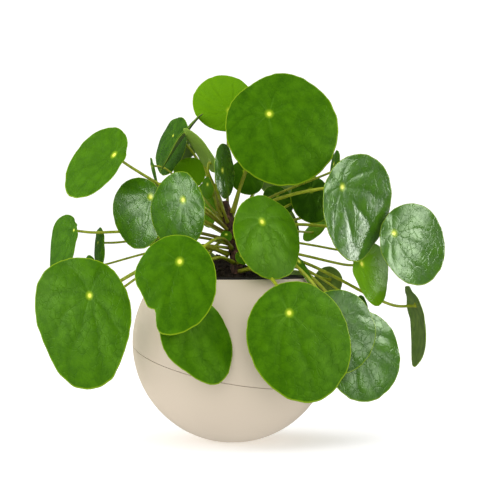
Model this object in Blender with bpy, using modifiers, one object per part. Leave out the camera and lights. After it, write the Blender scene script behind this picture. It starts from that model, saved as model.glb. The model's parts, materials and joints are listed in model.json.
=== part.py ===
"""A Chinese money plant (Pilea peperomioides) in a ball-shaped planter.

The planter is a hollow ball of two moulded shells that meet at a tilted seam. A black growing pot hangs
in its mouth and holds the potting soil. One woody trunk stands in the soil, and every round leaf grows
from it on a long stalk that joins the blade from below, a third of the way from its upper edge.

Lengths are in millimetres and angles in degrees, and become metres and radians where the shapes are
made. +Z is up, -Y is the front, and the origin is the middle of the planter's foot, on the surface
that it stands on.
"""

import math
from dataclasses import dataclass

import bmesh
import bpy
from mathutils import Matrix, Quaternion, Vector

MM = 0.001
FIT = 0.3  # clearance between pieces that rest against each other
UP = Vector((0, 0, 1))
FRONT = Vector((0, -1, 0))

# The planter: a ball that is cut flat at the foot and open at the mouth.
BALL_RADIUS = 95.0
FOOT_RADIUS = 20.0
MOUTH_RADIUS = 73.0
WALL = 3.0
BALL_HEIGHT = math.sqrt(BALL_RADIUS**2 - FOOT_RADIUS**2)
MOUTH_HEIGHT = BALL_HEIGHT + math.sqrt(BALL_RADIUS**2 - MOUTH_RADIUS**2)
MOUTH_INNER_RADIUS = math.sqrt((BALL_RADIUS - WALL) ** 2 - (MOUTH_HEIGHT - BALL_HEIGHT) ** 2)
RIM_ROUNDING = 0.9
BALL_SEGMENTS = 32
BALL_STEPS = 16

# The seam: a plane through the ball that falls to the right and to the front.
SEAM_HEIGHT = 76.0
SEAM_FALL_RIGHT = 0.18
SEAM_FALL_FRONT = 0.17
SEAM_GAP = 0.5
COLLAR_REACH = 6.0  # how far the lower shell's collar stands into the upper shell
COLLAR_WALL = 1.8
COLLAR_FIT = 0.5  # clearance round the collar, where two faceted balls face each other

# The growing pot, which hangs by its flange on the planter's mouth.
POT_WALL = 1.4
POT_FLOOR_HEIGHT = 34.0
POT_FLOOR_RADIUS = 50.0
POT_TOP_RADIUS = MOUTH_INNER_RADIUS - 0.8
FLANGE_REACH = 2.6
FLANGE_THICKNESS = 1.5
DRAIN_HOLES = 6
DRAIN_RADIUS = 4.0
POT_SEGMENTS = 24

# The soil: filled to just under the mouth, domed, with a hump behind the trunk.
SOIL_EDGE_DROP = 5.0
SOIL_DOME = 7.0
HUMP_RISE = 20.0
HUMP_AT = (-14.0, 26.0)
HUMP_SPREAD = (34.0, 20.0)
SOIL_RINGS = (0.0, 0.22, 0.45, 0.7, 0.88, 1.0)

# The trunk: (height, x, y, radius) up its middle line.
TRUNK = (
    (118.0, 7.5, 0.0, 4.6),
    (138.0, 7.0, 0.0, 6.6),
    (156.0, 5.2, 0.0, 6.2),
    (173.0, 2.8, 0.0, 5.8),
    (190.0, 0.2, 0.0, 5.6),
    (207.0, -3.4, 0.0, 5.4),
    (219.0, -5.8, 0.0, 4.6),
    (227.0, -7.0, 0.0, 2.8),
)
TRUNK_SIDES = 12
TRUNK_LEAN = 0.12  # the steepest sideways slope that the trunk has

# Leaves
BLADE_THICKNESS = 0.7
BLADE_RINGS = (0.1, 0.55, 1.0)  # shares of the way from the dot to the blade's edge
BLADE_SECTORS = 12
STALK_SIDES = 6
STALK_STEPS = 6
STALK_TAPER = 0.8  # the stalk's radius at the blade, as a share of its radius at the trunk
STALK_FLARE = 2.4  # the stalk widens into the blade over this length


@dataclass
class Leaf:
    """One leaf: a round blade on a stalk that joins it at the dot, on the blade's underside.

    face is how far the blade's upper side turns away from the front, and towards which direction,
    and tip is where the blade's long end pointed before that turn. Both directions are as the front
    view shows them: 0 is right, 90 up, 180 left and 270 down. fold bends the blade down across its
    width and droop along its length, in total degrees, and twist winds it about its length.
    bulges are (angle from the tip, height as a share of the radius, spread in degrees).
    The stalk leaves the trunk at the height foot, climbs at the angle rise and heads for the blade,
    turned by turn about the trunk. reach and neck are how long it keeps its first and last direction,
    as shares of the straight distance, and hang turns that last direction downwards.
    """

    name: str
    dot: tuple
    face: tuple
    tip: float
    size: tuple  # length and width
    foot: float
    attach: float = 0.33
    fold: float = 24.0
    droop: float = 24.0
    twist: float = 0.0
    bulges: tuple = ()
    rise: float = 35.0
    turn: float = 0.0
    reach: float = 0.35
    neck: float = 0.2
    hang: float = 0.0
    young: bool = False  # a young blade is a light yellow-green


OVER_RIM = {"reach": 0.45, "neck": 0.3, "hang": 1.5}  # for stalks that arch over the planter's rim

LEAVES = [
    # the crown
    Leaf("leaf_top_1", (34, -40, 306), (12, 60), 315, (108, 106), 216, rise=70, bulges=((165, -0.1, 30),)),
    Leaf("leaf_top_2", (-3, 14, 314), (20, 70), 118, (61, 61), 221, rise=80, young=True),
    Leaf(
        "leaf_top_3", (-20, -26, 262), (112, 32), 130, (52, 38), 219,
        attach=0.2, bulges=((42, -0.2, 24), (-42, -0.2, 24)), rise=75, hang=-1.2, young=True,
    ),
    Leaf("leaf_top_4", (-59, 45, 292), (60, 158), 248, (60, 60), 211, rise=70),
    Leaf("leaf_top_5", (-45, 70, 284), (140, 120), 235, (34, 32), 208, rise=66),
    Leaf("leaf_top_6", (-43, -2, 292), (84, 143), 233, (70, 46), 219, rise=62, fold=-34, droop=10),
    Leaf("leaf_top_7", (-9, -35, 254), (64, 2), 0, (50, 52), 207, rise=35, attach=0.3),
    # the left
    Leaf("leaf_left_1", (-112, -10, 270), (51, 139), 187, (80, 80), 205, rise=35, fold=-6, droop=6, attach=0.2),
    Leaf("leaf_left_2", (-77, -18, 230), (34, 180), 222, (70, 66), 197, rise=30, fold=6, attach=0.17),
    Leaf("leaf_left_3", (-153, 16, 199), (55, 165), 208, (74, 63), 190, rise=20, fold=6, attach=0.08),
    Leaf("leaf_left_4", (-132, 38, 187), (70, 175), 275, (42, 38), 186, rise=20, attach=0.36),
    Leaf("leaf_left_5", (-141, 62, 162), (60, 190), 244, (36, 34), 182, rise=12),
    Leaf(
        "leaf_left_6", (-130, -60, 139), (30, 180), 250, (126, 114), 176,
        attach=0.26, fold=4, bulges=((60, -0.09, 30), (-25, -0.12, 22), (-100, 0.15, 25)),
    ),
    Leaf("leaf_left_7", (-79, 32, 261), (78, 190), 275, (26, 20), 202, rise=30),
    # the front
    Leaf(
        "leaf_front_1", (-45, -62, 226), (40, 190), 230, (77, 66), 200,
        rise=35, attach=0.28, bulges=((-145, 0.13, 30),),
    ),
    Leaf(
        "leaf_front_2", (-45, -133, 171), (22, 160), 252, (87, 79), 182,
        rise=35, attach=0.26, droop=12, bulges=((-30, -0.2, 16),),
    ),
    Leaf(
        "leaf_front_3", (-40, -116, 121.5), (25, 28), 300, (88, 63), 168,
        rise=20, attach=0.25, bulges=((-30, -0.12, 16),), **OVER_RIM,
    ),
    Leaf("leaf_front_4", (27, -74, 206), (40, 28), 300, (79, 76), 192, rise=30, attach=0.31),
    Leaf(
        "leaf_front_5", (50, -116, 126), (20, 16), 291, (110, 99), 160,
        rise=9, attach=0.24, bulges=((25, 0.04, 30), (-45, -0.1, 30)), **OVER_RIM,
    ),
    # the right
    Leaf("leaf_right_1", (101, -50, 238), (42, 0), 321, (100, 100), 203, rise=50, fold=-16, attach=0.2),
    Leaf("leaf_right_2", (153, -5, 196), (28, 20), 338, (81, 78), 190, rise=38, fold=-4, attach=0.18),
    Leaf(
        "leaf_right_3", (122, -12, 167), (48, 20), 330, (58, 62), 178,
        rise=15, fold=-20, attach=0.2, young=True,
    ),
    Leaf("leaf_right_4", (177, 20, 127), (98, 20), 290, (82, 60), 175, rise=16, droop=60, attach=0.25),
    Leaf("leaf_right_5", (91, -76, 118), (20, 10), 300, (78, 74), 168, rise=34, **OVER_RIM),
    Leaf("leaf_right_6", (116, -46, 95), (26, 12), 300, (86, 80), 161, rise=40, **OVER_RIM),
    Leaf("leaf_right_7", (95, 40, 151), (155, 0), 300, (31, 30), 172.5, rise=8, attach=0.4),
    Leaf("leaf_right_8", (138, 28, 180), (70, 20), 290, (34, 32), 184, rise=20),
    Leaf("leaf_right_9", (123, -4, 128), (60, 10), 290, (28, 26), 171, rise=25, hang=0.7),
    Leaf("leaf_right_10", (97, 20, 263), (80, 170), 270, (40, 38), 209, rise=45),
    Leaf("leaf_right_11", (62, -36, 170), (55, 35), 305, (36, 12), 180, rise=8, attach=0.2),
    # between the trunk and the outer leaves
    Leaf("leaf_inner_1", (-43, 14, 249), (20, 120), 80, (34, 32), 207, rise=50),
    Leaf("leaf_inner_2", (-24, -9, 242), (50, 180), 260, (22, 18), 212, rise=42),
    Leaf("leaf_inner_3", (-28, 25, 230), (60, 185), 265, (44, 40), 201, rise=50, young=True),
    Leaf("leaf_inner_4", (12, 22, 256), (25, 60), 290, (36, 34), 210, rise=55),
    Leaf("leaf_inner_5", (43, 44, 234), (40, 60), 290, (34, 32), 203, rise=40),
    Leaf("leaf_inner_6", (76, 35, 238), (25, 60), 275, (50, 42), 198, rise=25),
    Leaf("leaf_inner_7", (84, 62, 204), (60, 130), 221, (30, 26), 195, rise=22, young=True),
    Leaf("leaf_base_1", (-6, -12, 195), (30, 90), 270, (12, 11), 184, rise=60),
    Leaf("leaf_base_2", (8, -20, 175), (40, 60), 290, (14, 13), 168, rise=50),
    # the back
    Leaf("leaf_back_1", (50, 66, 278), (150, 10), 270, (76, 74), 206, rise=35),
    Leaf("leaf_back_2", (-72, 80, 225), (145, 170), 270, (66, 64), 194, rise=20),
    Leaf("leaf_back_3", (33, 95, 208), (160, 20), 270, (62, 60), 195, rise=35),
    Leaf("leaf_back_4", (128, 84, 220), (120, 0), 275, (60, 56), 186, rise=28),
    Leaf("leaf_back_5", (-40, 112, 157), (150, 170), 265, (80, 76), 184, rise=25, hang=0.5),
    Leaf("leaf_back_6", (62, 114, 130), (150, 10), 275, (88, 84), 178, rise=35, **OVER_RIM),
    Leaf("leaf_back_7", (102, 75, 108), (125, 0), 275, (72, 68), 170, rise=45, **OVER_RIM),
    Leaf("leaf_back_8", (-129, 93, 130), (130, 180), 265, (66, 62), 177, rise=20, hang=0.5),
]


def front_direction(angle):
    """The direction that the front view shows at an angle."""
    a = math.radians(angle)
    return Vector((math.cos(a), 0, math.sin(a)))


def material(name, colour, roughness):
    """A plain surface that isn't metal."""
    made = bpy.data.materials.new(name)
    made.use_nodes = True
    shader = made.node_tree.nodes["Principled BSDF"]
    shader.inputs["Base Color"].default_value = (*colour, 1)
    shader.inputs["Roughness"].default_value = roughness
    shader.inputs["Metallic"].default_value = 0
    return made


def add(name, mesh, finish, collection):
    """A new object that holds mesh."""
    made = bpy.data.objects.new(name, mesh)
    mesh.materials.clear()
    mesh.materials.append(finish)
    mesh.shade_smooth()
    collection.objects.link(made)
    return made


def boolean(target, other, operation):
    """Cuts, joins or meets target with other, which stays a hidden helper."""
    modifier = target.modifiers.new(operation.lower(), "BOOLEAN")
    modifier.operation = operation
    modifier.object = other
    other.hide_render = True
    other.display_type = "WIRE"


def evaluated_mesh(made):
    """A copy of an object's mesh with its modifiers applied. The object is removed."""
    if not made.users_collection:
        bpy.context.scene.collection.objects.link(made)
    bpy.context.view_layer.update()
    graph = bpy.context.evaluated_depsgraph_get()
    mesh = bpy.data.meshes.new_from_object(made.evaluated_get(graph))
    bpy.data.objects.remove(made)
    return mesh


def turned(name, profile, segments, finish, collection, closed=False):
    """A solid of revolution. A profile of (radius, height) is closed, or ends on the axis twice."""
    mesh = bpy.data.meshes.new(name)
    points = [Vector((radius, 0, height)) * MM for radius, height in profile]
    edges = [(i, i + 1) for i in range(len(points) - 1)]
    if closed:
        edges.append((len(points) - 1, 0))
    mesh.from_pydata(points, edges, [])
    made = add(name, mesh, finish, collection)
    screw = made.modifiers.new("turn", "SCREW")
    screw.steps = screw.render_steps = segments
    screw.use_merge_vertices = True
    screw.merge_threshold = 0.00001
    return made


def ball_arc(radius, from_height, to_height, steps):
    """Points (radius, height) on a ball about the planter's centre, between two heights."""
    start = math.acos((from_height - BALL_HEIGHT) / radius)
    end = math.acos((to_height - BALL_HEIGHT) / radius)
    angles = [start + (end - start) * i / steps for i in range(steps + 1)]
    return [(radius * math.sin(a), BALL_HEIGHT + radius * math.cos(a)) for a in angles]


def shell_profile():
    """The planter's wall, from the inside of its floor over the rim to the outside of its foot."""
    rim_side = MOUTH_HEIGHT - RIM_ROUNDING
    inside = ball_arc(BALL_RADIUS - WALL, WALL, rim_side, BALL_STEPS)
    outside = ball_arc(BALL_RADIUS, rim_side, 0, BALL_STEPS)
    rim = [(inside[-1][0] + RIM_ROUNDING, MOUTH_HEIGHT), (outside[0][0] - RIM_ROUNDING, MOUTH_HEIGHT)]
    return [(0, WALL), *inside, *rim, *outside, (0, 0)]


def seam_block(name, low, high, collection):
    """A helper that covers the ball from low to high, measured square to the seam."""
    bpy.ops.mesh.primitive_cube_add(size=1)
    block = bpy.context.object
    block.name = name
    wide = 3 * BALL_RADIUS
    normal = Vector((SEAM_FALL_RIGHT, -SEAM_FALL_FRONT, 1)).normalized()
    tilt = UP.rotation_difference(normal).to_matrix().to_4x4()
    place = Matrix.Translation(Vector((0, 0, SEAM_HEIGHT))) @ tilt
    lift = Matrix.Translation((0, 0, (low + high) / 2))
    block.data.transform(Matrix.Scale(MM, 4) @ place @ lift @ Matrix.Diagonal((wide, wide, high - low, 1)))
    move_to(block, collection)
    return block


def move_to(made, collection):
    """Takes an object out of its collections and into another."""
    for owner in list(made.users_collection):
        owner.objects.unlink(made)
    collection.objects.link(made)


def collar_band(name, radii, low, high, collection, finish):
    """A ring-shaped layer of the ball between two radii, cut to a band along the seam."""
    inner, outer = radii
    bottom, top = SEAM_HEIGHT - 40, SEAM_HEIGHT + 45
    outside = ball_arc(outer, top, bottom, BALL_STEPS)
    inside = ball_arc(inner, bottom, top, BALL_STEPS)
    layer = turned(name, [*outside, *inside], BALL_SEGMENTS, finish, collection, closed=True)
    boolean(layer, seam_block(name + "_block", low, high, collection), "INTERSECT")
    return layer


def planter(parts, helpers, finish):
    """The two shells of the ball. The lower one has a collar that locates the upper one."""
    lower = turned("planter_lower_shell", shell_profile(), BALL_SEGMENTS, finish, parts)
    upper = turned("planter_upper_shell", shell_profile(), BALL_SEGMENTS, finish, parts)
    far = 2 * BALL_RADIUS
    half_gap = SEAM_GAP / 2
    boolean(lower, seam_block("below_seam", -far, -half_gap, helpers), "INTERSECT")
    boolean(upper, seam_block("above_seam", half_gap, far, helpers), "INTERSECT")
    tongue_outer = BALL_RADIUS - WALL - COLLAR_FIT
    tongue_inner = tongue_outer - COLLAR_WALL
    root = (tongue_inner + 0.4, BALL_RADIUS - WALL / 2)
    tongue = (tongue_inner, tongue_outer)
    root_band = collar_band("collar_root", root, -COLLAR_REACH, -half_gap - FIT, helpers, finish)
    tongue_band = collar_band("collar_tongue", tongue, -COLLAR_REACH / 2, COLLAR_REACH, helpers, finish)
    boolean(lower, root_band, "UNION")
    boolean(lower, tongue_band, "UNION")


def pot_radius(height):
    """The growing pot's outer radius at a height."""
    share = (height - POT_FLOOR_HEIGHT) / (MOUTH_HEIGHT - POT_FLOOR_HEIGHT)
    return POT_FLOOR_RADIUS + (POT_TOP_RADIUS - POT_FLOOR_RADIUS) * share


def growing_pot(parts, helpers, finish):
    """The black pot: a tapered cup with a flange on the planter's rim and holes in its floor."""
    flange_low = MOUTH_HEIGHT + FIT
    flange_top = flange_low + FLANGE_THICKNESS
    floor_top = POT_FLOOR_HEIGHT + POT_WALL
    profile = [
        (0, floor_top),
        (pot_radius(floor_top) - POT_WALL, floor_top),
        (POT_TOP_RADIUS - POT_WALL, flange_top),
        (POT_TOP_RADIUS + FLANGE_REACH, flange_top),
        (POT_TOP_RADIUS + FLANGE_REACH, flange_low),
        (POT_TOP_RADIUS, flange_low),
        (POT_FLOOR_RADIUS, POT_FLOOR_HEIGHT),
        (0, POT_FLOOR_HEIGHT),
    ]
    pot = turned("growing_pot", profile, POT_SEGMENTS, finish, parts)
    drills = bmesh.new()
    for i in range(DRAIN_HOLES):
        turn = Matrix.Rotation(math.tau * (i + 0.5) / DRAIN_HOLES, 4, "Z")
        at = turn @ Vector((POT_FLOOR_RADIUS * 0.62, 0, POT_FLOOR_HEIGHT))
        bmesh.ops.create_cone(
            drills,
            cap_ends=True,
            segments=10,
            radius1=DRAIN_RADIUS * MM,
            radius2=DRAIN_RADIUS * MM,
            depth=8 * POT_WALL * MM,
            matrix=Matrix.Translation(at * MM),
        )
    mesh = bpy.data.meshes.new("drain_drills")
    drills.to_mesh(mesh)
    drills.free()
    boolean(pot, add("drain_drills", mesh, finish, helpers), "DIFFERENCE")


def soil_top(x, y):
    """The height of the soil's surface."""
    spread = (x * x + y * y) / (POT_TOP_RADIUS - POT_WALL) ** 2
    dome = SOIL_DOME * (1 - min(1, spread))
    across = ((x - HUMP_AT[0]) / HUMP_SPREAD[0]) ** 2 + ((y - HUMP_AT[1]) / HUMP_SPREAD[1]) ** 2
    fade = max(0.0, 1 - spread**4)
    return MOUTH_HEIGHT - SOIL_EDGE_DROP + dome + HUMP_RISE * math.exp(-across) * fade


def trunk_shape(name, extra, collection, finish):
    """The trunk as a closed mesh, bigger by extra all round."""
    line = bpy.data.curves.new(name, "CURVE")
    line.dimensions = "3D"
    line.bevel_depth = MM
    line.bevel_resolution = (TRUNK_SIDES - 4) // 2
    line.use_fill_caps = True
    spline = line.splines.new("POLY")
    spline.points.add(len(TRUNK) - 1)
    for point, (height, x, y, radius) in zip(spline.points, TRUNK):
        point.co = (x * MM, y * MM, height * MM, 1)
        point.radius = radius + extra
    spline.points[0].co.z -= extra * MM
    mesh = evaluated_mesh(bpy.data.objects.new(name, line))
    shape = bmesh.new()
    shape.from_mesh(mesh)
    bmesh.ops.remove_doubles(shape, verts=shape.verts, dist=0.00001)
    shape.to_mesh(mesh)
    shape.free()
    return add(name, mesh, finish, collection)


def soil(parts, helpers, finish):
    """The soil: it fills the growing pot, and the trunk stands in a close pocket in it."""
    floor = POT_FLOOR_HEIGHT + POT_WALL + FIT
    top = MOUTH_HEIGHT - SOIL_EDGE_DROP
    edge = pot_radius(top) - POT_WALL - 2 * FIT
    surface = [(edge * share, top) for share in SOIL_RINGS]
    profile = [*surface, (pot_radius(floor) - POT_WALL - 2 * FIT, floor), (0, floor)]
    mesh = evaluated_mesh(turned("soil_blank", profile, POT_SEGMENTS, finish, helpers))
    for vertex in mesh.vertices:
        x, y, z = vertex.co / MM
        if z > top - 0.1:
            vertex.co.z = soil_top(x, y) * MM
    filled = add("soil", mesh, finish, parts)
    boolean(filled, trunk_shape("trunk_pocket", FIT, helpers, finish), "DIFFERENCE")


def trunk_at(height):
    """The trunk's middle and radius at a height."""
    for (low, x0, y0, r0), (high, x1, y1, r1) in zip(TRUNK, TRUNK[1:]):
        if height <= high:
            share = (height - low) / (high - low)
            middle = Vector((x0, y0, low)).lerp(Vector((x1, y1, high)), share)
            return middle, r0 + (r1 - r0) * share
    raise ValueError("no trunk at that height")


def edge_radius(leaf, angle):
    """How far the flat blade's edge is from the dot, at an angle from the tip."""
    half_length, half_width = leaf.size[0] / 2, leaf.size[1] / 2
    middle = half_length - leaf.attach * leaf.size[0]
    c, s = math.cos(angle), math.sin(angle)
    # where a ray from the dot meets the ellipse about the blade's middle
    square = (c / half_length) ** 2 + (s / half_width) ** 2
    linear = -middle * c / half_length**2
    constant = (middle / half_length) ** 2 - 1
    radius = (-linear + math.sqrt(linear**2 - square * constant)) / square
    for at, height, spread in leaf.bulges:
        away = (math.degrees(angle) - at + 180) % 360 - 180
        radius *= 1 + height * math.exp(-((away / spread) ** 2))
    return radius


def bent(leaf, along, across):
    """A point of the flat blade, bent down across the blade's width and then along its length."""
    fold = math.radians(leaf.fold) / leaf.size[1]
    droop = math.radians(leaf.droop) / leaf.size[0]
    twist = math.radians(leaf.twist) * along / leaf.size[0]
    side = math.sin(fold * across) / fold
    lift = (math.cos(fold * across) - 1) / fold
    turned_side = side * math.cos(twist) - lift * math.sin(twist)
    turned_lift = side * math.sin(twist) + lift * math.cos(twist)
    reach = 1 / droop + turned_lift
    bend = droop * along
    return Vector((reach * math.sin(bend), turned_side, reach * math.cos(bend) - 1 / droop))


def blade_frame(leaf):
    """Moves a blade from its own frame, tip along +X and upper side up, to its place."""
    tilt, lean = leaf.face
    upper = FRONT * math.cos(math.radians(tilt)) + front_direction(lean) * math.sin(math.radians(tilt))
    tip = FRONT.rotation_difference(upper) @ front_direction(leaf.tip)
    turn = Matrix((tip, upper.cross(tip), upper)).transposed().to_4x4()
    return Matrix.Translation(Vector(leaf.dot)) @ turn


def open_edges(shape):
    return [edge for edge in shape.edges if edge.is_boundary]


def blade_shape(leaf, place):
    """The blade as rings about the dot, with its thickness, open below the dot for the stalk."""
    shape = bmesh.new()
    bmesh.ops.create_circle(
        shape, cap_ends=True, cap_tris=True, segments=BLADE_SECTORS, radius=BLADE_RINGS[0]
    )
    for inner, outer in zip(BLADE_RINGS, BLADE_RINGS[1:]):
        grown = bmesh.ops.extrude_edge_only(shape, edges=open_edges(shape))["geom"]
        for vertex in (item for item in grown if isinstance(item, bmesh.types.BMVert)):
            vertex.co *= outer / inner
    for vertex in shape.verts:
        angle = math.atan2(vertex.co.y, vertex.co.x)
        reach = vertex.co.length * edge_radius(leaf, angle)
        vertex.co = place @ bent(leaf, reach * math.cos(angle), reach * math.sin(angle))
    bmesh.ops.recalc_face_normals(shape, faces=shape.faces)
    upper = place.to_3x3() @ UP
    if sum(face.normal.dot(upper) for face in shape.faces) < 0:
        bmesh.ops.reverse_faces(shape, faces=shape.faces)
    bmesh.ops.solidify(shape, geom=shape.faces[:], thickness=BLADE_THICKNESS)
    under = place @ Vector((0, 0, -BLADE_THICKNESS))
    centre = min(shape.verts, key=lambda vertex: (vertex.co - under).length)
    bmesh.ops.delete(shape, geom=[centre], context="VERTS")
    return shape


def stalk_radius(leaf):
    """The stalk's radius where it leaves the trunk: bigger leaves have thicker stalks."""
    return 1.0 + 0.008 * leaf.size[0]


def stalk_mesh(leaf, place):
    """The stalk: a tapering round stem, open at both ends, from the trunk to just under the dot."""
    end = place @ Vector((0, 0, -BLADE_THICKNESS - STALK_FLARE))
    arriving = (place.to_3x3() @ UP - UP * leaf.hang).normalized()
    middle, trunk_radius = trunk_at(leaf.foot)
    outward = Vector((end.x - middle.x, end.y - middle.y, 0)).normalized()
    outward = Quaternion(UP, math.radians(leaf.turn)) @ outward
    rise = math.radians(leaf.rise)
    clearance = FIT + stalk_radius(leaf) * (abs(math.sin(rise)) + TRUNK_LEAN)
    start = middle + outward * (trunk_radius + clearance)
    leaving = outward * math.cos(rise) + UP * math.sin(rise)
    distance = (end - start).length
    line = bpy.data.curves.new(leaf.name + "_stalk", "CURVE")
    line.dimensions = "3D"
    line.resolution_u = STALK_STEPS
    line.bevel_depth = 1
    line.bevel_resolution = (STALK_SIDES - 4) // 2
    spline = line.splines.new("BEZIER")
    spline.bezier_points.add(1)
    first, last = spline.bezier_points
    for point in (first, last):
        point.handle_left_type = point.handle_right_type = "FREE"
    first.co, last.co = start, end
    first.handle_right = start + leaving * distance * leaf.reach
    first.handle_left = start - leaving
    last.handle_left = end - arriving * distance * leaf.neck
    last.handle_right = end + arriving
    first.radius = stalk_radius(leaf)
    last.radius = stalk_radius(leaf) * STALK_TAPER
    return evaluated_mesh(bpy.data.objects.new(line.name, line)), start


def leaf_solid(leaf, parts, finish):
    """A leaf: the blade's open underside is bridged to the stalk, and the stalk's foot is closed."""
    place = blade_frame(leaf)
    shape = blade_shape(leaf, place)
    stem, start = stalk_mesh(leaf, place)
    shape.from_mesh(stem)
    bpy.data.meshes.remove(stem)
    near = 2 * stalk_radius(leaf)
    foot = [edge for edge in open_edges(shape) if (edge.verts[0].co - start).length < near]
    bmesh.ops.holes_fill(shape, edges=foot)
    bmesh.ops.bridge_loops(shape, edges=open_edges(shape))
    bmesh.ops.recalc_face_normals(shape, faces=shape.faces)
    bmesh.ops.scale(shape, vec=(MM, MM, MM), verts=shape.verts)
    mesh = bpy.data.meshes.new(leaf.name)
    shape.to_mesh(mesh)
    shape.free()
    add(leaf.name, mesh, finish, parts)


def main():
    for found in list(bpy.data.objects):
        bpy.data.objects.remove(found)
    parts = bpy.data.collections.new("potted_chinese_money_plant")
    helpers = bpy.data.collections.new("helpers")
    helpers.hide_render = True
    for made in (parts, helpers):
        bpy.context.scene.collection.children.link(made)
    planter(parts, helpers, material("beige_plastic", (0.74, 0.65, 0.52), 0.5))
    growing_pot(parts, helpers, material("black_plastic", (0.012, 0.012, 0.013), 0.45))
    soil(parts, helpers, material("potting_soil", (0.022, 0.014, 0.009), 0.95))
    trunk_shape("trunk", 0, parts, material("trunk_bark", (0.11, 0.055, 0.03), 0.85))
    mature_green = material("leaf_green", (0.06, 0.21, 0.009), 0.35)
    young_green = material("young_leaf_green", (0.13, 0.32, 0.008), 0.35)
    for leaf in LEAVES:
        leaf_solid(leaf, parts, young_green if leaf.young else mature_green)


main()
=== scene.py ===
"""The looks of the potted Chinese money plant, built round its CAD frame.

Every CAD leaf is a coarse blade of rings round the dot where its stalk joins it. Each one is read back
from its mesh and grown into a smooth leaf, and the trunk, soil, pot and planter are made finer in the
same way. Lengths are in metres, +Z is up and -Y is the front.
"""

import json
import math
import random

import bmesh
import bpy
import numpy as np
from mathutils import Matrix, Vector, noise
from mathutils.bvhtree import BVHTree


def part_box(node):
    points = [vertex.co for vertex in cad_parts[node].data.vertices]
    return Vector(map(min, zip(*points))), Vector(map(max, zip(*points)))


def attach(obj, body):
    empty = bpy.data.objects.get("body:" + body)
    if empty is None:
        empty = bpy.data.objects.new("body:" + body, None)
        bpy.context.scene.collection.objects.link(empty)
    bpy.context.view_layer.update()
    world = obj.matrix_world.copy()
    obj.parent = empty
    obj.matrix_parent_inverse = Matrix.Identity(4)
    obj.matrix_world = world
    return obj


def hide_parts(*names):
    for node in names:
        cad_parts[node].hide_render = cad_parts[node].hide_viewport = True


MM = 0.001
UP = Vector((0, 0, 1))

# Leaves, as the CAD makes them
CAD_SHARES = (0.0, 0.1, 0.55, 1.0)  # the CAD rings' shares of the way from the dot to the blade's edge
CAD_SECTORS = 12
CAD_EDGE_LAYER = 3  # the blade's edge, in layers of points out from the dot
CAD_STALK_LAYER = 7  # the stalk's upper end, beyond the underside's rings

# Leaves, as they grow here
EDGE_STEP = 2.4 * MM  # about the distance between points on a blade's edge
RING_STEP = 1.9 * MM  # about the distance between a blade's rings
DOT_SHARES = (0.012, 0.026, 0.042, 0.062, 0.086)  # the rings nearest the dot, as shares of the way out
EDGE_SHARES = (0.965, 0.985, 1.0)  # the rings nearest the edge
BLADE_THICKNESS = 0.65 * MM
EDGE_THICKNESS = 0.45 * MM
DIMPLE_DEPTH = 0.5 * MM
DIMPLE_RADIUS = 3.5 * MM
FULL_REACH = 60 * MM  # a blade that reaches this far from its dot has the full relief
LEAST_RELIEF = 0.3  # the smallest blades' share of the full relief
PUFF_HEIGHT = 0.95 * MM  # how far the blade stands up between two main veins
PUFF_FULL_AT = 34 * MM  # how far from the dot a large blade's puffs reach their full height
QUILT_HEIGHT = 0.16 * MM
QUILT_SIZE = 12 * MM
QUILT_FULL_AT = 8 * MM
RIPPLE_HEIGHT = 0.55 * MM  # how far the edge waves up and down
STALK_SIDES = 12
STALK_STEPS = 6  # steps between two of the CAD stalk's rings
STALK_FLARE = 2.1  # how much wider the stalk is where it meets the blade
STALK_SEAT = 0.9 * MM  # how far the stalk's foot reaches into the bark
FOOT_SWELL = 0.35  # how much wider the stalk's foot is, as a share
FOOT_STEPS = 2.0  # how many of the stalk's steps that swelling takes to fade

# Angles of a blade's main veins from its tip, in degrees
VEINS = (-180, -142, -96, -46, 0, 40, 88, 138, 180)
VEIN_BEND = 0.6  # how far a vein at right angles to the tip bends toward it, in radians
VEIN_WANDER = 0.22  # how far a vein strays to either side, in radians
VEIN_WANDER_SIZE = 26 * MM

# (angle from the tip, depth as a share of the reach, spread) of a notch in a blade's edge, in degrees
NOTCHES = {"leaf_front_2": (-13, 0.17, 7)}
NO_NOTCH = (0, 0, 1)

# (waves round a blade's edge, their size as a share of the reach)
EDGE_WAVES = ((5, 0.003), (13, 0.0025), (22, 0.003), (31, 0.003))

# Tones that aren't 0, from -1, old and dark, to 1, young and yellow-green.
# leaf_inner_1's light tone is painted light: it stands in for the light that shines through that leaf
# where it lies in shade
TONES = {
    "leaf_top_2": 0.85,
    "leaf_top_3": 0.5,
    "leaf_top_4": -0.5,
    "leaf_top_6": -0.2,
    "leaf_top_7": -0.35,
    "leaf_left_1": 0.1,
    "leaf_left_2": -0.05,
    "leaf_front_1": 0.1,
    "leaf_front_3": -0.25,
    "leaf_front_4": 0.15,
    "leaf_right_1": 0.05,
    "leaf_right_2": -0.35,
    "leaf_right_3": 0.95,
    "leaf_right_4": 0.1,
    "leaf_right_5": -0.3,
    "leaf_right_6": -0.2,
    # painted light: lighter to stand in for the light that shines through this leaf in shade
    "leaf_inner_1": 0.8,
    "leaf_inner_2": 0.4,
    "leaf_inner_3": 1.0,
    "leaf_inner_4": -0.5,
    "leaf_inner_5": -0.5,
    "leaf_inner_6": -0.7,
    "leaf_inner_7": 0.6,
}
TONE_SPREAD = 0.12  # how far a leaf's tone strays from the one given

GLOSSY_LEAVES = (
    "leaf_top_4",
    "leaf_top_7",
    "leaf_left_2",
    "leaf_front_1",
    "leaf_right_1",
    "leaf_right_2",
    "leaf_right_5",
    "leaf_right_6",
)
FAINT_DOTS = ("leaf_left_3", "leaf_left_4", "leaf_top_4")  # leaves whose dot hardly shows
FAINT_DOT_SIZE = 0.45
FLAT_UNIT = 30 * MM  # the unit of the places on a flat blade that materials read

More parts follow.
